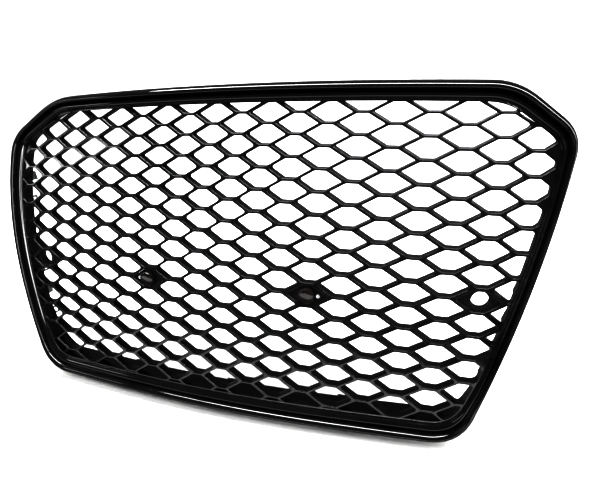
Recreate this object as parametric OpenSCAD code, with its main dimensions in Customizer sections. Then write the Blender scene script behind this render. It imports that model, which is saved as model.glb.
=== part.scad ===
// Honeycomb front grille of a mid-size car: one gloss frame with a bead ring, one moulded
// honeycomb insert, four parking-sensor holders, two blanking plugs and the rear fixings.
// Millimetres. +X is to the right seen from in front, +Y goes back into the car, +Z is up.
// The origin is midway between the top bolts, on the upper face of the brackets' shelves.
// Every wall of the moulding runs along Y, the direction it leaves the tool, and the whole
// face is raked back at the top. The face is worked out about its own centre and then placed.

/* [Outline] */
// half width at the widest point, the upper side corner
corner_x = 438.7; // [300:0.5:600]
// height of the upper side corner
corner_z = 137.6; // [50:1:250]
// top edge on the centre line
top_z = 200.4; // [100:1:300]
// how far the top edge drops from the centre line to the upper corner
top_arch = 8.4; // [0:0.1:40]
// half width where the top edge meets the corner chamfer
chamfer_x = 362; // [200:1:450]
// half width where the side meets the bottom edge
foot_x = 365.8; // [200:1:450]
// bottom edge on the centre line
bottom_z = -232.5; // [-400:0.5:-100]
// how far the bottom edge rises from the centre line to the lower corner
bottom_rise = 0.3; // [0:0.1:30]
// outward bow of each side
side_bow = 4.5; // [0:0.1:10]

/* [Face surface] */
// rake of the face at its centre, degrees back from upright
rake = 24; // [0:1:45]
// fore-and-aft curve from top to bottom
bow_z = 8.67; // [0:0.01:20]
// extra curl of the top and bottom edges
curl_z = 1.3; // [0:0.01:4]
// wrap of the face round the car's nose
bow_x = 2.32; // [0:0.01:6]
// easing of that wrap towards the sides
ease_x = 0.045; // [0:0.001:0.2]

/* [Honeycomb] */
// column pitch at the centre
col_pitch = 43; // [20:0.5:80]
// row pitch at the centre
row_pitch = 27.95; // [15:0.05:50]
// half length of a cell's flat, as a share of the column pitch
flat_share = 0.2; // [0.15:0.005:0.45]
// half thickness of a rib at its front face
rib_front = 1.95; // [0.6:0.05:4]
// half thickness of a rib at its back
rib_back = 1.75; // [0.5:0.05:4]
// how much less the level ribs have of that half thickness
level_less = 0.35; // [0:0.05:0.6]
// depth of a rib along Y
rib_depth = 14.5; // [6:0.5:30]
// how far the ribs stand in front of the face surface
rib_ahead = 7; // [0:0.5:14]
// cells the frame cuts narrower than this stay closed
closed_span = 17; // [0:0.5:40]
// thickness of the strip round the insert's edge
edge_strip = 1.3; // [0.8:0.1:5]

/* [Frame section] */
// width of the frame at the top and the bottom, outside to inner wall
frame_width = 21; // [12:0.5:40]
// share of that width left on an upright side
side_share = 0.62; // [0.4:0.01:1]
// how far the bead ring stands in front of the face surface
bead_height = 23.4; // [8:0.2:40]
// how far the inner wall reaches behind the face surface
wall_back = 16; // [8:0.5:40]

/* [Parking sensors] */
// how far the open outer holders' tubes reach back
outer_tube_end = 14; // [13.5:0.5:24]
// bore radius of a sensor holder
bore_r = 10.75; // [6:0.05:16]
// outer radius of a holder's tube
tube_r = 12.4; // [7:0.1:18]
// running clearance of a blanking plug in its bore
plug_gap = 0.06; // [0.02:0.01:0.1]

/* [Fixings] */
// radius of a bolt hole in a top bracket
bolt_r = 3.3; // [2:0.1:6]
// distance between the two bolt holes of a bracket
bolt_spacing = 60; // [30:1:120]
// centre of each top bracket from the centre line
bracket_x = 180; // [100:1:300]

/* [Hidden] */
cols = 10;
gap = 0.1;
inner_edge = 0.12;
black = [0.03, 0.03, 0.033];
dark = [0.07, 0.07, 0.075];
steel = [0.55, 0.56, 0.58];

// ---------- the face ----------

// Y of the honeycomb's front face over any point of the XZ plane
function surf(x, z) =
  let(u = x / 100, v = z / 100)
  100 * (tan(rake) * v) + bow_z * v * v + curl_z * v * v * v
  + bow_x * u * u - ease_x * u * u * u * u;

// slope of the face in Z at a point
function slope(x, z) = (surf(x, z + 1) - surf(x, z - 1)) / 2;

// X of a honeycomb column; the pitch opens a little and closes again outwards
function col_x(k) = col_pitch * k * (1 + 0.00149 * k * k - 0.000015 * k * k * k * k);

// Z of a honeycomb row in column k; rows droop towards the sides
function row_z(k, d) =
  let(q = k * k / 81)
  row_pitch * d - 0.285 * d * d + 0.0108 * d * d * d - 14.33 * q + 4.42 * q * q + 0.31 * q * d;

function snap6(t) = round(t * 1000000) / 1000000;
function cell_pt(k, d) = let(a = snap6(k), b = snap6(d)) [col_x(a), row_z(a, b)];

// corners of one cell, anticlockwise seen from in front
function cell(k, d) = [
  cell_pt(k + 1 - flat_share, d),
  cell_pt(k + flat_share, d + 0.5),
  cell_pt(k - flat_share, d + 0.5),
  cell_pt(k - 1 + flat_share, d),
  cell_pt(k - flat_share, d - 0.5),
  cell_pt(k + flat_share, d - 0.5)
];

// ---------- the outline ----------

function mix2(a, b, t) = a + (b - a) * t;
function unit2(v) = v / norm(v);
function bez(a, b, c, t) = (1 - t) * (1 - t) * a + 2 * t * (1 - t) * b + t * t * c;

c1 = [chamfer_x, top_z - top_arch];
c2 = [corner_x, corner_z];
c3 = [foot_x, bottom_z + bottom_rise];
t1 = 30.6;
t2 = 27.4;
t3 = 49.6;
function top_pt(x) = [x, top_z - top_arch * (x / chamfer_x) * (x / chamfer_x)];
function low_pt(x) = [x, bottom_z + bottom_rise * (x / foot_x) * (x / foot_x)];
a1 = top_pt(chamfer_x - t1);
b1 = c1 + unit2(c2 - c1) * t1;
a2 = c2 - unit2(c2 - c1) * t2;
b2 = c2 + unit2(c3 - c2) * t2;
a3 = c3 - unit2(c3 - c2) * t3;
b3 = low_pt(foot_x - t3);
side_out = [unit2(c3 - c2)[1], -unit2(c3 - c2)[0]] * -1;

half = concat(
  [for (i = [0:8]) top_pt((chamfer_x - t1) * i / 8)],
  [for (i = [1:5]) bez(a1, c1, b1, i / 5)],
  [a2],
  [for (i = [1:6]) bez(a2, c2, b2, i / 6)],
  [for (i = [1:8]) mix2(b2, a3, i / 8) + side_out * side_bow * 4 * (i / 8) * (1 - i / 8)],
  [for (i = [1:7]) bez(a3, c3, b3, i / 7)],
  [for (i = [1:7]) low_pt((foot_x - t3) * (1 - i / 7))]
);
hn = len(half);
// stations clockwise seen from in front, starting at the top of the centre line
rim = concat(half, [for (i = [hn - 2:-1:1]) [-half[i][0], half[i][1]]]);
rn = len(rim);
function rim_in(i) =
  let(d = rim[(i + 1) % rn] - rim[(i + rn - 1) % rn])
  unit2([d[1], -d[0]]);
// the frame narrows from the top and the bottom to its upright sides
function smooth(a, b, z) = let(t = min(1, max(0, (z - a) / (b - a)))) t * t * (3 - 2 * t);
function share(q) =
  side_share + (1 - side_share) * max(smooth(60, 200, q[1]), smooth(-150, -232, q[1]));
function rim_at(i, u) = rim[i] + rim_in(i) * share(rim[i]) * u;

// station nearest to a height on the right side, or to an X on the top or bottom
function pick(list, best) = [for (i = [0:len(list) - 1]) if (list[i] == best) i][0];
function side_station(z) =
  let(d = [for (i = [0:hn - 1]) rim[i][0] > 330 ? abs(rim[i][1] - z) : 9999])
  pick(d, min(d));
function edge_station(x, up) =
  let(d = [for (i = [0:hn - 1]) rim[i][1] * up > 150 ? abs(rim[i][0] - x) : 9999])
  pick(d, min(d));

// ---------- placing the part on its origin ----------

br_z = 187;
br_y = surf(bracket_x, 190);
bolt_y = br_y + 46;

module placed() {
  translate([0, -bolt_y, -br_z - 3])
    children();
}

// ---------- swept rings ----------

function ring_pt(i, p) = let(q = rim_at(i, p[0])) [q[0], surf(q[0], q[1]) + p[1], q[1]];

// section points are [inward distance, Y behind the face], listed once round
module ring(section) {
  m = len(section);
  pts = [for (i = [0:rn - 1]) for (p = section) ring_pt(i, p)];
  fcs = [for (i = [0:rn - 1]) for (j = [0:m - 1])
    let(a = i * m + j, b = i * m + (j + 1) % m,
        c = ((i + 1) % rn) * m + (j + 1) % m, d = ((i + 1) % rn) * m + j)
    each [[a, c, b], [a, d, c]]];
  polyhedron(points = pts, faces = fcs, convexity = 10);
}

bh = -bead_height;
trim_section = [
  [-1.2, -4],
  [-0.2, bh + 4.5],
  [1, bh + 1.5],
  [3, bh],
  [5.5, bh + 0.4],
  [7.5, bh + 2.5],
  [8.5, bh + 5.5],
  [8.5, -12.05],
  [2.05, -12.05],
  [2.05, -4]
];
fw = frame_width;
frame_section = [
  [2.1, 8],
  [2.1, -12],
  [10.6, -12],
  [11.6, -13.6],
  [13.4, -14.4],
  [15.6, -13.8],
  [17.6, -11.6],
  [18.8, -9.2],
  [19.4, -8.2],
  [fw, -7.4],
  [fw, wall_back],
  [fw - 2.6, wall_back],
  [fw - 2.6, -5.4],
  [16, -9.2],
  [4.7, -9.2],
  [4.7, 8]
];

// ---------- clipping cells by the inside of the frame ----------

edge_poly = [for (i = [0:rn - 1]) rim_at(i, fw + inner_edge)];
// half planes as [nx, nz, c], outside where n.p > c
edge_planes = [for (i = [0:rn - 1])
  let(a = edge_poly[i], b = edge_poly[(i + 1) % rn], n = unit2([a[1] - b[1], b[0] - a[0]]))
  [n[0], n[1], n * a]];
function over(p, h) = let(t = p[0] * h[0] + p[1] * h[1] - h[2]) abs(t) < 0.00001 ? 0 : t;
function first(a, b) = a[0] < b[0] || (a[0] == b[0] && a[1] < b[1]);
function cross_at(a, b, h) = first(a, b) ? cross_on(a, b, h) : cross_on(b, a, h);
function cross_on(a, b, h) = let(s = over(a, h), t = over(b, h)) a + (b - a) * (s / (s - t));
function clip1(p, h) =
  let(n = len(p), o = [for (q = p) over(q, h)])
  max(o) <= 0 ? p :
  [for (i = [0:n - 1]) let(j = (i + 1) % n) each concat(
    o[i] <= 0 ? [p[i]] : [],
    o[i] * o[j] < 0 ? [cross_at(p[i], p[j], h)] : [])];
function clip_all(p, i = 0) =
  i == rn || len(p) < 3 ? p : clip_all(clip1(p, edge_planes[i]), i + 1);
function drop_twins(p) =
  let(n = len(p))
  [for (i = [0:n - 1]) if (norm(p[i] - p[(i + 1) % n]) > 0.0001) p[i]];
function area(p) =
  let(n = len(p))
  [for (i = [0:n - 1]) let(a = p[i], b = p[(i + 1) % n]) a[0] * b[1] - b[0] * a[1]]
  * [for (i = [0:n - 1]) 0.5];
function far_out(p) = let(h = max([for (q = edge_planes) p[0] * q[0] + p[1] * q[1] - q[2]])) h;
function on_edge(a, b) = abs(far_out((a + b) / 2)) < 0.001;

// ---------- shrinking one cell to its opening ----------

// inward half plane of each side, moved in by its own distance
function side_lines(p, t, rims) = [for (i = [0:len(p) - 1])
  let(a = p[i], b = p[(i + 1) % len(p)], d = unit2(b - a), n = [-d[1], d[0]],
      level = abs(d[1]) < 0.33 * abs(d[0]),
      w = rims[i] ? edge_strip : (level ? t - level_less : t))
  [n[0], n[1], n * a + w]];
function meet(g, h) =
  let(q = g[0] * h[1] - g[1] * h[0])
  [(g[2] * h[1] - g[1] * h[2]) / q, (g[0] * h[2] - g[2] * h[0]) / q];
// length of a moved side that is still inside all the others
function kept(ls, i) =
  let(g = ls[i], o = [g[0] * g[2], g[1] * g[2]], d = [g[1], -g[0]],
      ts = [for (j = [0:len(ls) - 1]) if (j != i)
        let(h = ls[j], s = d[0] * h[0] + d[1] * h[1], r = h[2] - o[0] * h[0] - o[1] * h[1])
        abs(s) < 0.000001 ? (r > 0 ? [9999, -9999] : [-9999, 9999])
        : (s > 0 ? [r / s, 9999] : [-9999, r / s])])
  min([for (t = ts) t[1]]) - max([for (t = ts) t[0]]);
function before(alive, i, n) = alive[(i + n) % n] ? (i + n) % n : before(alive, i - 1, n);
function after(alive, i, n) = alive[i % n] ? i % n : after(alive, i + 1, n);
function inner_ring(ls, alive) =
  let(n = len(ls))
  [for (i = [0:n - 1]) meet(ls[before(alive, i - 1, n)], ls[after(alive, i, n)])];

// one cell as [points, faces without offset]
function p3(q, w) = [q[0], surf(q[0], q[1]) + w - rib_ahead, q[1]];
function cell_block(p) =
  let(n = len(p),
      rims = [for (i = [0:n - 1]) on_edge(p[i], p[(i + 1) % n])],
      lf = side_lines(p, rib_front, rims),
      lb = side_lines(p, rib_back, rims),
      alive = [for (i = [0:n - 1]) kept(lf, i) > 0.25 && kept(lb, i) > 0.25],
      xs = [for (q = p) q[0]],
      open = max(xs) - min(xs) > closed_span && len([for (a = alive) if (a) 1]) > 2)
  open ? open_block(p, n, rims, alive, inner_ring(lf, alive), inner_ring(lb, alive))
       : shut_block(p, n, rims);
function open_block(p, n, rims, alive, qf, qb) = [
  concat([for (q = p) p3(q, 0)], [for (q = qf) p3(q, 0)],
         [for (q = qb) p3(q, rib_depth)], [for (q = p) p3(q, rib_depth)]),
  [for (i = [0:n - 1]) let(j = (i + 1) % n) each concat(
    alive[i] ? [[i, n + i, n + j], [n + j, n + i, 2 * n + i],
                [n + j, 2 * n + i, 2 * n + j], [2 * n + j, 2 * n + i, 3 * n + i]] : [],
    [[i, n + j, j], [2 * n + j, 3 * n + i, 3 * n + j]],
    rims[i] ? [[i, j, 3 * n + j], [i, 3 * n + j, 3 * n + i]] : [])]
];
function shut_block(p, n, rims) = [
  concat([for (q = p) p3(q, 0)], [for (q = p) p3(q, rib_depth)]),
  concat(
    [for (i = [1:n - 2]) each [[0, i + 1, i], [n, n + i, n + i + 1]]],
    [for (i = [0:n - 1]) let(j = (i + 1) % n)
      if (rims[i]) each [[i, j, n + j], [i, n + j, n + i]]])
];

// odd columns hold whole rows, even columns half rows
grid = [for (k = [-cols:cols]) for (r = [-9:9])
  let(d = abs(k) % 2 == 1 ? r + 0.25 : r - 0.25, c = cell(k, d))
  if (far_out(cell_pt(k, d)) < 37) c];
cells = [for (c = grid)
  let(out = max([for (q = c) far_out(q)]), p = out < -0.01 ? c : drop_twins(clip_all(c)))
  if (len(p) > 2) if (area(p) > 0.000001) p];
blocks = [for (p = cells) cell_block(p)];
function sums(v, i = 0, s = 0) = i == len(v) ? [] : concat([s], sums(v, i + 1, s + v[i]));
offs = sums([for (b = blocks) len(b[0])]);

module mesh_insert() {
  placed() color(black)
    polyhedron(
      points = [for (b = blocks) each b[0]],
      faces = [for (i = [0:len(blocks) - 1]) each [for (f = blocks[i][1]) [for (t = f) t + offs[i]]]],
      convexity = 10);
}

module trim_ring() {
  placed() color(black) ring(trim_section);
}

module surround_frame() {
  placed() color(black) ring(frame_section);
}

// ---------- parking-sensor holders ----------

// extrudes a drawing of the XZ plane from y0 to y1
module slab(y0, y1) {
  translate([0, y1, 0])
    rotate([90, 0, 0])
      linear_extrude(height = y1 - y0)
        children();
}

// round bar along Y
module bar(r, y0, y1) {
  translate([0, y1, 0])
    rotate([90, 0, 0])
      cylinder(r = r, h = y1 - y0, $fn = 96);
}

inner_tube_end = 24;
in_k = 3;
in_d = -1.75;
out_k = 8;
out_d = -1.25;
in_c = cell_pt(in_k, in_d);
out_c = cell_pt(out_k, out_d);
function lean(c) = atan(slope(c[0], c[1]));

function yaw(c) = atan((surf(c[0] + 1, c[1]) - surf(c[0] - 1, c[1])) / 2);

// a thick block with one side on a plane parallel to the face, w behind it;
// it fills the space in front of that plane, or behind it when back is set
module beyond(c, w, back = false) {
  rotate([-lean(c), 0, yaw(c)])
    translate([-60, (back ? 0 : -80) + w * cos(lean(c)), -60])
      cube([120, 80, 120]);
}

function inset_cell(k, d, t) =
  let(p = cell(k, d), ls = side_lines(p, t, [false, false, false, false, false, false]))
  inner_ring(ls, [true, true, true, true, true, true]);

// hexagonal plate in a raised rim that follows the face, with a tube behind it
module holder(k, d, c, pinned, tube_end) {
  translate([c[0], surf(c[0], c[1]) - rib_ahead, c[1]])
    difference() {
      union() {
        difference() {
          slab(-12, 16)
            polygon([for (q = inset_cell(k, d, rib_front + 0.2)) q - c]);
          beyond(c, 1.4);
          beyond(c, 7.5, true);
          intersection() {
            slab(-20, 20)
              polygon([for (q = inset_cell(k, d, rib_front + 1.5)) q - c]);
            beyond(c, 4.2);
          }
        }
        difference() {
          bar(tube_r, -8, tube_end);
          beyond(c, 4.2);
        }
      }
      bar(bore_r, -20, 40);
      if (pinned)
        translate([16, 0, -0.5])
          bar(2.65, -20, 40);
    }
}

module holder_outer_left() {
  placed() color(dark) mirror([1, 0, 0]) holder(out_k, out_d, out_c, false, outer_tube_end);
}

module holder_inner_left() {
  placed() color(dark) mirror([1, 0, 0]) holder(in_k, in_d, in_c, true, inner_tube_end);
}

module holder_inner_right() {
  placed() color(dark) holder(in_k, in_d, in_c, true, inner_tube_end);
}

module holder_outer_right() {
  placed() color(dark) holder(out_k, out_d, out_c, false, outer_tube_end);
}

// blanking plug: hollow cap with a domed front, pulled out forwards
module plug(c) {
  translate([c[0], surf(c[0], c[1]) - rib_ahead, c[1]])
    rotate([90, 0, 0])
      rotate_extrude($fn = 96)
        polygon(concat(
          [[9, -14], [bore_r - plug_gap, -14], [bore_r - plug_gap, 1.7], [11.2, 1.7], [11.2, 3]],
          [for (i = [0:8]) [11 * cos(i * 90 / 8), 3 + 3.2 * sin(i * 90 / 8)]],
          [[0, 4.4], [9, 3]]));
}

module sensor_plug_left() {
  placed() color(black) mirror([1, 0, 0]) plug(in_c);
}

module sensor_plug_right() {
  placed() color(black) plug(in_c);
}

// locating pin with a dished head beside each inner holder's bore
module pin(c) {
  translate([c[0] + 16, surf(c[0], c[1]) - rib_ahead, c[1] - 0.5])
    difference() {
      bar(2.6, 2, 11);
      bar(1.3, 0, 3.4);
    }
}

module holder_pins() {
  placed() color(steel) {
    pin(in_c);
    mirror([1, 0, 0]) pin(in_c);
  }
}

// latch loop that hangs from the back of each holder's tube
module latch(c, e) {
  translate([c[0], surf(c[0], c[1]) - rib_ahead, c[1]])
    difference() {
      translate([-4.2, e - 3.5, -22])
        cube([8.4, 1.8, 10.4]);
      translate([-2.6, e - 4, -20.2])
        cube([5.2, 3, 4.6]);
      bar(tube_r + 0.03, e - 14, e + 6);
    }
}

module holder_latches() {
  placed() color(dark) {
    latch(out_c, outer_tube_end);
    latch(in_c, inner_tube_end);
    mirror([1, 0, 0]) latch(out_c, outer_tube_end);
    mirror([1, 0, 0]) latch(in_c, inner_tube_end);
  }
}

// ---------- rear fixings ----------

// snap loop standing on the channel side of the inner wall at station i
module loop(i) {
  n = rim_in(i);
  q = rim[i] + n * (share(rim[i]) * (fw - 2.6) - 0.1);
  translate([q[0], surf(q[0], q[1]), q[1]])
    rotate([0, -atan2(n[1], n[0]), 0])
      translate([-1.6, 4, -6.5])
        difference() {
          cube([1.6, 24, 13]);
          translate([-1, 15, 3])
            cube([4, 6, 7]);
        }
}

side_z = [42, -35, -70, -140];

module side_loops() {
  for (z = side_z)
    loop(side_station(z));
}

module snap_loops_left() {
  placed() color(dark) mirror([1, 0, 0]) side_loops();
}

module snap_loops_right() {
  placed() color(dark) side_loops();
}

module snap_loops_top() {
  placed() color(dark) {
    loop(0);
    for (x = [90, 260]) {
      loop(edge_station(x, 1));
      mirror([1, 0, 0]) loop(edge_station(x, 1));
    }
  }
}

module snap_loops_bottom() {
  placed() color(dark) {
    for (x = [110, 260]) {
      loop(edge_station(x, -1));
      mirror([1, 0, 0]) loop(edge_station(x, -1));
    }
  }
}

// top bracket: a shelf out of the frame's channel with two bolt holes and two ribs
module bracket() {
  difference() {
    translate([bracket_x - 46, br_y - 4.5, br_z])
      cube([92, 64.5, 3]);
    for (s = [-1, 1])
      translate([bracket_x + s * bolt_spacing / 2, bolt_y, br_z - 1])
        cylinder(r = bolt_r, h = 6, $fn = 64);
  }
  for (s = [-1, 1])
    translate([bracket_x + s * 14 - 1.2, br_y + 22, br_z - 12])
      cube([2.4, 38, 12.01]);
}

module top_bracket_left() {
  placed() color(dark) mirror([1, 0, 0]) bracket();
}

module top_bracket_right() {
  placed() color(dark) bracket();
}

// spring nut folded over the bracket's edge round one bolt hole
module spring_nut(x) {
  translate([x, bolt_y, br_z])
    difference() {
      translate([-8, -9, -1])
        cube([16, 24, 5]);
      translate([-9, -10, -0.1])
        cube([18, 24.1, 3.2]);
      translate([0, 0, -3])
        cylinder(r = bolt_r + 0.3, h = 10, $fn = 64);
    }
}

module spring_nuts() {
  placed() color(steel)
    for (s = [-1, 1])
      for (t = [-1, 1])
        spring_nut(s * bracket_x + t * bolt_spacing / 2);
}

// tongues along the bottom that drop into slots of the bumper
module tongue(x) {
  y = surf(x, -222);
  translate([x - 13, y - 7.5, -222.5])
    cube([26, 52, 3]);
  translate([x - 1.5, y + 14, -219.51])
    cube([3, 24, 4]);
}

module lower_locators() {
  placed() color(dark)
    for (x = [-190, 0, 190])
      tongue(x);
}

// sprung steel clip in the side channel
module side_clip(z) {
  i = side_station(z);
  q = rim_at(i, 11.4);
  translate([q[0], surf(q[0], q[1]) + 1, q[1] - 7])
    linear_extrude(height = 14)
      polygon([
        [-2.4, 4], [2.4, 4], [2.4, 20], [4.6, 24], [4.6, 26], [3.8, 26], [3.8, 24.3],
        [1.6, 20.3], [1.6, 4.8], [-1.6, 4.8], [-1.6, 26], [-2.4, 26]]);
}

clip_z = [76, -104];

module side_clips_left() {
  placed() color(steel)
    mirror([1, 0, 0])
      for (z = clip_z)
        side_clip(z);
}

module side_clips_right() {
  placed() color(steel)
    for (z = clip_z)
      side_clip(z);
}

trim_ring();
surround_frame();
mesh_insert();
holder_outer_left();
holder_inner_left();
holder_inner_right();
holder_outer_right();
sensor_plug_left();
sensor_plug_right();
holder_pins();
holder_latches();
snap_loops_left();
snap_loops_right();
snap_loops_top();
snap_loops_bottom();
top_bracket_left();
top_bracket_right();
spring_nuts();
lower_locators();
side_clips_left();
side_clips_right();
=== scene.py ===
"""Honeycomb front grille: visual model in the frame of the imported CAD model."""
import math
import bpy
import numpy as np
from mathutils import Matrix, Vector


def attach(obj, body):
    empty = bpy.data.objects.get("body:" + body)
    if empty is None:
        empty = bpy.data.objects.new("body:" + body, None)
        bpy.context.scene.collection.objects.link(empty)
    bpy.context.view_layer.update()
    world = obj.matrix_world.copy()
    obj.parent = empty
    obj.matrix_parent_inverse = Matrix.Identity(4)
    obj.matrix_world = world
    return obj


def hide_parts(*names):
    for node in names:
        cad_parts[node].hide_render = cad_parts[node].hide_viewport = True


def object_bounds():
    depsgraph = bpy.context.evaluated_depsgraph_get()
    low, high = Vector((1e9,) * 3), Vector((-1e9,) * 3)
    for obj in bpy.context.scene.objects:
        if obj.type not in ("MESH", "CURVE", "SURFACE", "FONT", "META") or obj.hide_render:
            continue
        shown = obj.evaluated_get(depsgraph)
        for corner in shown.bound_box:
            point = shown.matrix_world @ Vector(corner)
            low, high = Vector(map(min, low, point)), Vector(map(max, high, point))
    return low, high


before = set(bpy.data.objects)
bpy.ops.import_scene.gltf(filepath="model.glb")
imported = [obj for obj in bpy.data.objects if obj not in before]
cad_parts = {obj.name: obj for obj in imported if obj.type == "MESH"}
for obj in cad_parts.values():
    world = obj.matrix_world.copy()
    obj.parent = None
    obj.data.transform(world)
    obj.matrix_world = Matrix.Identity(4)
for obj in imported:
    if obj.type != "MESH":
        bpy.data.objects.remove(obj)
cad_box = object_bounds()

# ------------------------------------------------------------------ face shape
# millimetres about the centre of the honeycomb, X right, Z up, Y back
TAN_RAKE = math.tan(math.radians(24))


def surf(x, z):
    u, v = x / 100.0, z / 100.0
    return (100 * TAN_RAKE * v + 8.67 * v * v + 1.3 * v ** 3
            + 2.32 * u * u - 0.045 * u ** 4)


def col_x(k):
    return 43 * k * (1 + 0.00149 * k * k - 0.000015 * k ** 4)


def row_z(k, d):
    q = k * k / 81.0
    return (27.95 * d - 0.285 * d * d + 0.0108 * d ** 3
            - 14.33 * q + 4.42 * q * q + 0.31 * q * d)


FLAT = 0.2       # half width of a cell's flat top, in column pitches
AHEAD = 7        # the ribs' fronts stand this far in front of the face surface
ORIGIN = np.array([0.0, surf(180, 190) + 46, 190.0])


def to_m(x, y, z):
    return ((x - ORIGIN[0]) / 1000, (y - ORIGIN[1]) / 1000, (z - ORIGIN[2]) / 1000)


def cell_pt(k, d):
    return np.array([col_x(round(k, 6)), row_z(round(k, 6), round(d, 6))])


def cell(k, d):
    return [cell_pt(k + 1 - FLAT, d), cell_pt(k + FLAT, d + 0.5), cell_pt(k - FLAT, d + 0.5),
            cell_pt(k - 1 + FLAT, d), cell_pt(k - FLAT, d - 0.5), cell_pt(k + FLAT, d - 0.5)]


def unit(v):
    return v / np.hypot(*v)


def bez(a, b, c, t):
    return (1 - t) ** 2 * a + 2 * t * (1 - t) * b + t * t * c


# outline: top edge and its arch, chamfer's end, side corner, lower corner, bottom edge and its rise
TOP_Z, ARCH, CH_X = 200.4, 8.4, 362
CO_X, CO_Z = 438.7, 137.6
FOOT_X, BOT_Z, BOT_A = 365.8, -232.5, 0.3
BOW = 4.5        # how far the long sides bulge


def outline(fine):
    """Outer edge of the grille, clockwise seen from in front; fine multiplies the CAD's steps."""
    c1, c2 = np.array([CH_X, TOP_Z - ARCH], float), np.array([CO_X, CO_Z], float)
    c3 = np.array([FOOT_X, BOT_Z + BOT_A], float)
    t1, t2, t3 = 30.6, 27.4, 49.6

    def top_pt(x):
        return np.array([x, TOP_Z - ARCH * (x / CH_X) ** 2])

    def low_pt(x):
        return np.array([x, BOT_Z + BOT_A * (x / FOOT_X) ** 2])
    a1, b1 = top_pt(CH_X - t1), c1 + unit(c2 - c1) * t1
    a2, b2 = c2 - unit(c2 - c1) * t2, c2 + unit(c3 - c2) * t2
    a3, b3 = c3 - unit(c3 - c2) * t3, low_pt(FOOT_X - t3)
    out = -np.array([unit(c3 - c2)[1], -unit(c3 - c2)[0]])

    def steps(n):
        n *= fine
        return [i / n for i in range(1, n + 1)]
    pts = [top_pt(0.0)]
    pts += [top_pt((CH_X - t1) * t) for t in steps(8)]
    pts += [bez(a1, c1, b1, t) for t in steps(5)]
    pts += [b1 + (a2 - b1) * t for t in steps(1)]
    pts += [bez(a2, c2, b2, t) for t in steps(6)]
    pts += [b2 + (a3 - b2) * t + out * BOW * 4 * t * (1 - t) for t in steps(8)]
    pts += [bez(a3, c3, b3, t) for t in steps(7)]
    pts += [low_pt((FOOT_X - t3) * (1 - t)) for t in steps(7)]
    return pts + [np.array([-q[0], q[1]]) for q in pts[-2:0:-1]]


def inward(pts, i):
    d = pts[(i + 1) % len(pts)] - pts[i - 1]
    return unit(np.array([d[1], -d[0]]))


def smooth(a, b, z):
    t = min(1, max(0, (z - a) / (b - a)))
    return t * t * (3 - 2 * t)


def share(q):
    return 0.62 + 0.38 * max(smooth(60, 200, q[1]), smooth(-150, -232, q[1]))


def at(pts, i, u):
    return pts[i] + inward(pts, i) * share(pts[i]) * u


# ------------------------------------------------------------------ mesh helpers
def make(name, verts, faces, mat, body, *stands_for, sharp=35):
    me = bpy.data.meshes.new(name)
    me.from_pydata([to_m(*v) for v in verts], [], faces)
    me.validate(clean_customdata=False)
    me.materials.append(mat)
    me.shade_smooth()
    me.set_sharp_from_angle(angle=math.radians(sharp))
    ob = bpy.data.objects.new(name, me)
    bpy.context.scene.collection.objects.link(ob)
    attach(ob, body)
    if stands_for:
        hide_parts(*stands_for)
    return ob


def soften(section, radii, n=4):
    """Closed section with each corner rounded; radii in mm, one for each corner."""
    out = []
    m = len(section)
    for i, r in enumerate(radii):
        p, a, b = (np.array(section[j % m], float) for j in (i, i - 1, i + 1))
        if r <= 0:
            out.append(tuple(p))
            continue
        la, lb = np.hypot(*(a - p)), np.hypot(*(b - p))
        t = min(r, la * 0.45, lb * 0.45)
        s, e = p + (a - p) / la * t, p + (b - p) / lb * t
        out += [tuple(bez(s, p, e, q / n)) for q in range(n + 1)]
    return out


def sweep(name, section, mat, *stands_for, fine=3, sharp=40, deeper=0.0):
    rim = outline(fine)
    m, n = len(section), len(rim)
    verts, faces = [], []
    for i in range(n):
        for u, w in section:
            x, z = at(rim, i, u)
            back = deeper * smooth(-130, -225, rim[i][1]) if w > 12 else 0
            verts.append((x, surf(x, z) + w + back, z))
    for i in range(n):
        for j in range(m):
            a, b = i * m + j, i * m + (j + 1) % m
            c, d = ((i + 1) % n) * m + (j + 1) % m, ((i + 1) % n) * m + j
            faces.append((a, d, c, b))
    return make(name, verts, faces, mat, "grille", *stands_for, sharp=sharp)


# ------------------------------------------------------------------ materials
def nodes_of(name):
    mat = bpy.data.materials.new(name)
    mat.use_nodes = True
    nt = mat.node_tree
    bsdf = nt.nodes["Principled BSDF"]
    tc = nt.nodes.new("ShaderNodeTexCoord")
    return mat, nt, bsdf, tc


def noise(nt, tc, scale, detail=4.0, rough=0.55):
    n = nt.nodes.new("ShaderNodeTexNoise")
    n.inputs["Scale"].default_value = scale
    n.inputs["Detail"].default_value = detail
    n.inputs["Roughness"].default_value = rough
    nt.links.new(tc.outputs["Object"], n.inputs["Vector"])
    return n


def ramp(nt, src, stops):
    r = nt.nodes.new("ShaderNodeValToRGB")
    e = r.color_ramp.elements
    while len(e) < len(stops):
        e.new(0.5)
    for q, (pos, col) in zip(e, stops):
        q.position = pos
        q.color = (*col, 1) if len(col) == 3 else col
    nt.links.new(src, r.inputs["Fac"])
    return r


def bump(nt, src, strength, dist, into, chain=None):
    b = nt.nodes.new("ShaderNodeBump")
    b.inputs["Strength"].default_value = strength
    b.inputs["Distance"].default_value = dist
    nt.links.new(src, b.inputs["Height"])
    if chain is not None:
        nt.links.new(chain.outputs["Normal"], b.inputs["Normal"])
    nt.links.new(b.outputs["Normal"], into.inputs["Normal"])
    return b


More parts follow.
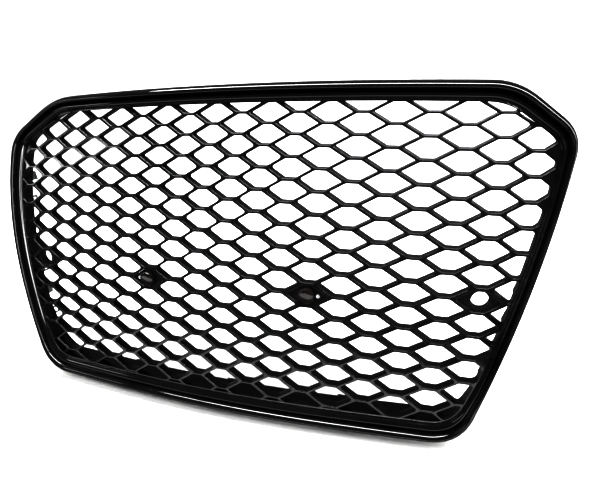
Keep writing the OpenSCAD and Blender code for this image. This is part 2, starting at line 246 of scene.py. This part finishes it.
def gloss_black(name, base, rough, dust=0.5):
    """Moulded gloss-black plastic: faint flow variation, orange peel and a film of dust."""
    mat, nt, bsdf, tc = nodes_of(name)
    flow = noise(nt, tc, 14, 5)
    col = ramp(nt, flow.outputs["Fac"], [(0.3, base), (0.75, tuple(c * 1.6 + 0.002 for c in base))])
    nt.links.new(col.outputs["Color"], bsdf.inputs["Base Color"])
    haze = noise(nt, tc, 60, 6, 0.6)
    lo, hi = rough * 0.75, rough * (1.3 + dust)
    rr = ramp(nt, haze.outputs["Fac"], [(0.35, (lo,) * 3), (0.7, (hi,) * 3)])
    nt.links.new(rr.outputs["Color"], bsdf.inputs["Roughness"])
    peel = noise(nt, tc, 900, 2)
    wave = noise(nt, tc, 45, 2)
    b1 = bump(nt, wave.outputs["Fac"], 0.12, 0.0006, bsdf)
    bump(nt, peel.outputs["Fac"], 0.05, 0.0001, bsdf, b1)
    bsdf.inputs["IOR"].default_value = 1.5
    return mat


def satin_black(name, base, rough):
    """Textured rear moulding: fine grain, scuffs that are a little paler."""
    mat, nt, bsdf, tc = nodes_of(name)
    scuff = noise(nt, tc, 22, 7, 0.65)
    worn = tuple(c * 1.8 + 0.004 for c in base)
    col = ramp(nt, scuff.outputs["Fac"], [(0.35, base), (0.8, worn)])
    nt.links.new(col.outputs["Color"], bsdf.inputs["Base Color"])
    rr = ramp(nt, scuff.outputs["Fac"], [(0.3, (rough * 0.85,) * 3), (0.75, (rough * 1.25,) * 3)])
    nt.links.new(rr.outputs["Color"], bsdf.inputs["Roughness"])
    grain = noise(nt, tc, 1600, 3)
    bump(nt, grain.outputs["Fac"], 0.25, 0.0002, bsdf)
    bsdf.inputs["IOR"].default_value = 1.45
    return mat


def plated_steel(name):
    """Zinc-plated spring steel: mottled spangle, fine rolling lines and dull spots."""
    mat, nt, bsdf, tc = nodes_of(name)
    vor = nt.nodes.new("ShaderNodeTexVoronoi")
    vor.inputs["Scale"].default_value = 420
    nt.links.new(tc.outputs["Object"], vor.inputs["Vector"])
    col = ramp(nt, vor.outputs["Distance"], [(0.1, (0.46, 0.47, 0.49)), (0.9, (0.66, 0.67, 0.68))])
    nt.links.new(col.outputs["Color"], bsdf.inputs["Base Color"])
    dull = noise(nt, tc, 70, 5)
    rr = ramp(nt, dull.outputs["Fac"], [(0.35, (0.22,) * 3), (0.75, (0.45,) * 3)])
    nt.links.new(rr.outputs["Color"], bsdf.inputs["Roughness"])
    line = noise(nt, tc, 1200, 2)
    bump(nt, line.outputs["Fac"], 0.15, 0.0001, bsdf)
    bsdf.inputs["Metallic"].default_value = 1.0
    return mat


M_GLOSS = gloss_black("gloss_black_mesh", (0.0025, 0.0025, 0.0028), 0.1)
M_FRAME = gloss_black("gloss_black_frame", (0.0025, 0.0025, 0.0028), 0.07, 0.35)
M_TRIM = gloss_black("gloss_black_trim", (0.0025, 0.0025, 0.0028), 0.06, 0.3)
# the plug's warm brown tint in its base colour is a painted reflection of the room's brown; the
# plastic itself is gloss black
M_PLUG = gloss_black("gloss_black_plug", (0.006, 0.0045, 0.004), 0.07)
M_SATIN = satin_black("satin_black_rear", (0.012, 0.012, 0.013), 0.42)
M_HOLD = gloss_black("gloss_black_holder", (0.005, 0.005, 0.0055), 0.18)
M_STEEL = plated_steel("zinc_plated_steel")

# ------------------------------------------------------------------ frame and bead ring
H = -23.4        # front of the outer bead, ahead of the face surface
trim = [(-1.2, -4), (-0.2, H + 4.5), (1, H + 1.5), (3, H), (5.5, H + 0.4), (7.5, H + 2.5),
        (8.5, H + 5.5), (8.5, -12.05), (2.05, -12.05), (2.05, -4)]
trim = soften(trim, [0.6, 4, 1.6, 1.8, 1.8, 1.6, 2, 0, 0.3, 0.5], 5)
sweep("bead_ring", trim, M_TRIM, "trim_ring")
FW = 21          # width of the frame, from its outer edge to the honeycomb
WALL = 2.6
sect = [(2.1, 8), (2.1, -12), (10.6, -12), (11.6, -13.6), (13.4, -14.4), (15.6, -13.8),
        (17.6, -11.6), (18.8, -9.2), (19.4, -8.2), (FW, -7.4), (FW, 16), (FW - WALL, 16),
        (FW - WALL, -5.4), (16, -9.2), (4.7, -9.2), (4.7, 8)]
sect = soften(sect, [0.7, 0.3, 0.8, 0.8, 1.4, 1.4, 1.2, 0.6, 0.6, 0.9, 0.8, 0.8, 1.2, 1, 0.8, 0.7],
              4)
sweep("frame_shell", sect, M_FRAME, "surround_frame", deeper=13)

# ------------------------------------------------------------------ honeycomb
FRONT, BACK = 1.95, 1.4  # half width of a rib near its front and at its back
EDGE = 1.3       # strip left along the frame
LEVEL = 0.35     # level ribs are thinner by this
DEPTH = 14.5
rim0 = outline(1)
poly = [at(rim0, i, FW + 0.12) for i in range(len(rim0))]
planes = []
for i, a in enumerate(poly):
    b = poly[(i + 1) % len(poly)]
    n = unit(np.array([a[1] - b[1], b[0] - a[0]]))
    planes.append((n, n @ a))
PN = np.array([p[0] for p in planes])
PC = np.array([p[1] for p in planes])


def far_out(p):
    return (PN @ p - PC).max()


def clip(p, n, c):
    o = [0.0 if abs(q @ n - c) < 1e-5 else q @ n - c for q in p]
    if max(o) <= 0:
        return p
    out = []
    for i, q in enumerate(p):
        j = (i + 1) % len(p)
        if o[i] <= 0:
            out.append(q)
        if o[i] * o[j] < 0:
            out.append(q + (p[j] - q) * (o[i] / (o[i] - o[j])))
    return out


def lines(p, t, edge, strip):
    out = []
    for i, a in enumerate(p):
        d = unit(p[(i + 1) % len(p)] - a)
        n = np.array([-d[1], d[0]])
        level = abs(d[1]) < 0.33 * abs(d[0])
        out.append((n, n @ a + (strip if edge[i] else t - LEVEL if level else t)))
    return out


def meet(g, h):
    q = g[0][0] * h[0][1] - g[0][1] * h[0][0]
    return np.array([(g[1] * h[0][1] - h[1] * g[0][1]) / q, (g[0][0] * h[1] - h[0][0] * g[1]) / q])


def kept(ls, i):
    n, c = ls[i]
    o, d = n * c, np.array([n[1], -n[0]])
    lo, hi = -9999.0, 9999.0
    for j, (m, e) in enumerate(ls):
        if j == i:
            continue
        s, r = d @ m, e - o @ m
        if abs(s) < 1e-6:
            if r > 0:
                return -1
        elif s > 0:
            lo = max(lo, r / s)
        else:
            hi = min(hi, r / s)
    return hi - lo


def opening(p, t, edge, strip, alive, n=4):
    """Rounded opening of one cell: for each pair of live sides, the n+1 points of their corner."""
    ls, ref = lines(p, t, edge, strip), lines(p, FRONT, edge, EDGE)
    live = [i for i in range(len(p)) if alive[i]]
    raw = []
    for q, i in enumerate(live):
        a, b = meet(ref[live[q - 1]], ref[i]), meet(ls[live[q - 1]], ls[i])
        far, most = np.hypot(*(b - a)), 3 * abs(t - FRONT) + 0.01
        raw.append(a + (b - a) * min(1, most / max(far, 1e-9)))
    out = []
    for q in range(len(live)):
        v, a, b = raw[q], raw[q - 1], raw[(q + 1) % len(live)]
        la, lb = np.hypot(*(a - v)), np.hypot(*(b - v))
        turn = abs((a - v) @ (b - v)) / (la * lb)
        s = min(5 if turn < 0.6 else 1.3, la * 0.42, lb * 0.42)
        start, end = v + (a - v) / la * s, v + (b - v) / lb * s
        out.append([bez(start, v, end, k / n) for k in range(n + 1)])
    return live, out


# half width of a rib at each distance behind its front
LAYERS = [(1.15, 0.0), (1.5, 0.09), (1.8, 0.36), (1.97, 0.85), (1.86, 13.7), (1.5, DEPTH)]
CLOSED = 17      # cells the frame cuts narrower than this stay closed
REACH = 37       # cells centred further outside the frame's inside than this are left out
verts, faces = [], []
CR = 4


def add(p, w):
    verts.append((p[0], surf(p[0], p[1]) + w - AHEAD, p[1]))
    return len(verts) - 1


for k in range(-10, 11):
    for r in range(-9, 10):
        d = r + 0.25 if abs(k) % 2 == 1 else r - 0.25
        if far_out(cell_pt(k, d)) >= REACH:
            continue
        p = cell(k, d)
        if max(far_out(q) for q in p) > -0.01:
            for n_, c_ in planes:
                p = clip(p, n_, c_)
                if len(p) < 3:
                    break
            if len(p) > 2:
                p = [q for i, q in enumerate(p) if np.hypot(*(q - p[(i + 1) % len(p)])) > 1e-4]
        if len(p) < 3:
            continue
        m = len(p)
        edge = [abs(far_out((p[i] + p[(i + 1) % m]) / 2)) < 1e-3 for i in range(m)]
        f0, b0 = [add(q, 0) for q in p], [add(q, DEPTH) for q in p]
        lf, lb = lines(p, FRONT, edge, EDGE), lines(p, BACK, edge, EDGE)
        alive = [kept(lf, i) > 0.6 and kept(lb, i) > 0.6 for i in range(m)]
        for i in range(m):
            if edge[i]:
                j = (i + 1) % m
                faces.append((f0[i], f0[j], b0[j], b0[i]))
        if sum(alive) < 3 or max(q[0] for q in p) - min(q[0] for q in p) <= CLOSED:
            faces.append(tuple(reversed(f0)))
            faces.append(tuple(b0))
            continue
        rings = []
        for t, w in LAYERS:
            strip = EDGE if t > BACK or w > 10 else 0.5 + t * 0.5
            live, corners = opening(p, t, edge, strip, alive, CR)
            rings.append([[add(q, w) for q in c] for c in corners])
        nl = len(live)
        for a, b in zip(rings[:-1], rings[1:]):
            la = [v for c in a for v in c]
            lb_ = [v for c in b for v in c]
            for i in range(len(la)):
                j = (i + 1) % len(la)
                faces.append((la[j], la[i], lb_[i], lb_[j]))
        # corner that each vertex of p faces
        cor = [min(range(nl), key=lambda q: ((live[q] - i) % m)) for i in range(m)]
        for ring, base, front in ((rings[0], f0, True), (rings[-1], b0, False)):
            for i in range(m):
                j = (i + 1) % m
                ci, cj = cor[i], cor[j]
                path = [ring[ci][CR // 2]]
                if ci != cj:
                    path = ring[ci][CR // 2:] + ring[cj][:CR // 2 + 1]
                f = [base[i], *path, base[j]]
                faces.append(tuple(f) if front else tuple(reversed(f)))
make("honeycomb", verts, faces, M_GLOSS, "grille", "mesh_insert", sharp=38)

# ------------------------------------------------------------------ carried-over CAD nodes
LOOK = {
    "holder_": M_HOLD, "sensor_plug": M_PLUG, "holder_pins": M_STEEL, "holder_latches": M_SATIN,
    "snap_loops": M_SATIN, "top_bracket": M_SATIN, "lower_locators": M_SATIN,
    "spring_nuts": M_STEEL, "side_clips": M_STEEL}
for name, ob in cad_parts.items():
    if name in ("trim_ring", "surround_frame", "mesh_insert"):
        continue
    best = max((q for q in LOOK if name.startswith(q)), key=len)
    for s in ob.material_slots:
        s.material = LOOK[best]
    bev = ob.modifiers.new("edge", "BEVEL")
    bev.width = 0.0003
    bev.segments = 2
    bev.limit_method = "ANGLE"
    bev.angle_limit = math.radians(40)

# ------------------------------------------------------------------ stage, light, camera
low = cad_box[0][2] - 0.012
CURVE_Y, CURVE_R = 2.6, 1.6  # where the sweep starts to rise and its radius, m
prof = [(-9.0, low), (CURVE_Y, low)]
for a in range(6, 91, 6):
    up_y, up_z = math.sin(math.radians(a)), math.cos(math.radians(a))
    prof.append((CURVE_Y + CURVE_R * up_y, low + CURVE_R - CURVE_R * up_z))
prof += [(4.2, low + 7.0)]
me = bpy.data.meshes.new("floor")
me.from_pydata([(x, y, z) for y, z in prof for x in (-14, 14)], [],
               [(2 * i, 2 * i + 1, 2 * i + 3, 2 * i + 2) for i in range(len(prof) - 1)])
me.shade_smooth()
fm, fnt, fb, ftc = nodes_of("studio_floor")
fn = noise(fnt, ftc, 90, 6, 0.7)
fr = ramp(fnt, fn.outputs["Fac"], [(0.3, (0.86, 0.86, 0.85)), (0.75, (0.93, 0.93, 0.925))])
fnt.links.new(fr.outputs["Color"], fb.inputs["Base Color"])
fb.inputs["Roughness"].default_value = 0.95
fb.inputs["Specular IOR Level"].default_value = 0.1
me.materials.append(fm)
floor = bpy.data.objects.new("floor", me)
bpy.context.scene.collection.objects.link(floor)
floor.visible_glossy = False

world = bpy.data.worlds.new("studio")
bpy.context.scene.world = world
world.use_nodes = True
bg = world.node_tree.nodes["Background"]
bg.inputs["Color"].default_value = (0.97, 0.98, 1, 1)
bg.inputs["Strength"].default_value = 0.16


def area(name, pos, target, size, power):
    li = bpy.data.lights.new(name, "AREA")
    li.shape = "RECTANGLE"
    li.size, li.size_y = size
    li.energy = power
    ob = bpy.data.objects.new(name, li)
    ob.location = pos
    ob.rotation_euler = (Vector(target) - Vector(pos)).to_track_quat("-Z", "Y").to_euler()
    bpy.context.scene.collection.objects.link(ob)
    return ob


FACE = (0, -0.17, -0.2)  # the middle of the face, which the strips are aimed at
soft = area("key_top", (0.3, 1.5, 3.6), (0, 0.9, -0.4), (5.6, 3.0), 150)
wash = area("wash_back", (-0.6, 1.6, 3.4), (-0.6, 4.2, 0.8), (7.0, 0.8), 230)
soft.visible_glossy = wash.visible_glossy = False
fill = area("fill_front", (-1.5, -1.9, 2.6), (0.3, 0.5, -0.4), (1.6, 1.6), 95)
fill.visible_glossy = False
area("strip_over", (0.1, 0.22, 2.3), FACE, (4.4, 0.36), 215)
area("strip_right", (2.2, -0.2, 0.6), FACE, (0.3, 2.0), 45)
area("strip_left", (-2.4, -0.8, 0.9), FACE, (0.12, 1.6), 9)
low_strip = area("strip_low", (0.1, -0.75, cad_box[0][2] - 0.005), (0, -0.1, 0.3), (3.0, 0.3), 9)
low_strip.visible_camera = False
view = bpy.context.scene.view_settings
view.view_transform = "Standard"
view.look = "None"
view.exposure = 0.22
view.gamma = 0.62

cam = bpy.data.cameras.new("camera")
co = bpy.data.objects.new("camera", cam)
bpy.context.scene.collection.objects.link(co)
right = np.array([0.9493, 0.3124, -0.0339])
back = np.array([0.2811, -0.7959, 0.5362])
back /= np.linalg.norm(back)
right -= back * (right @ back)
right /= np.linalg.norm(right)
up = np.cross(back, right)
pos = to_m(296.3, -529.3 + 0.5, 197.1 - 0.3)  # mm, in the face's own axes
co.matrix_world = Matrix([[right[i], up[i], back[i], pos[i]] for i in range(3)] + [[0, 0, 0, 1]])
cam.sensor_fit = "HORIZONTAL"
cam.sensor_width = 36
cam.lens = 417.0 / 600 * 36
cam.shift_y = (350 - 240) / 600
cam.clip_start = 0.01
bpy.context.scene.camera = co
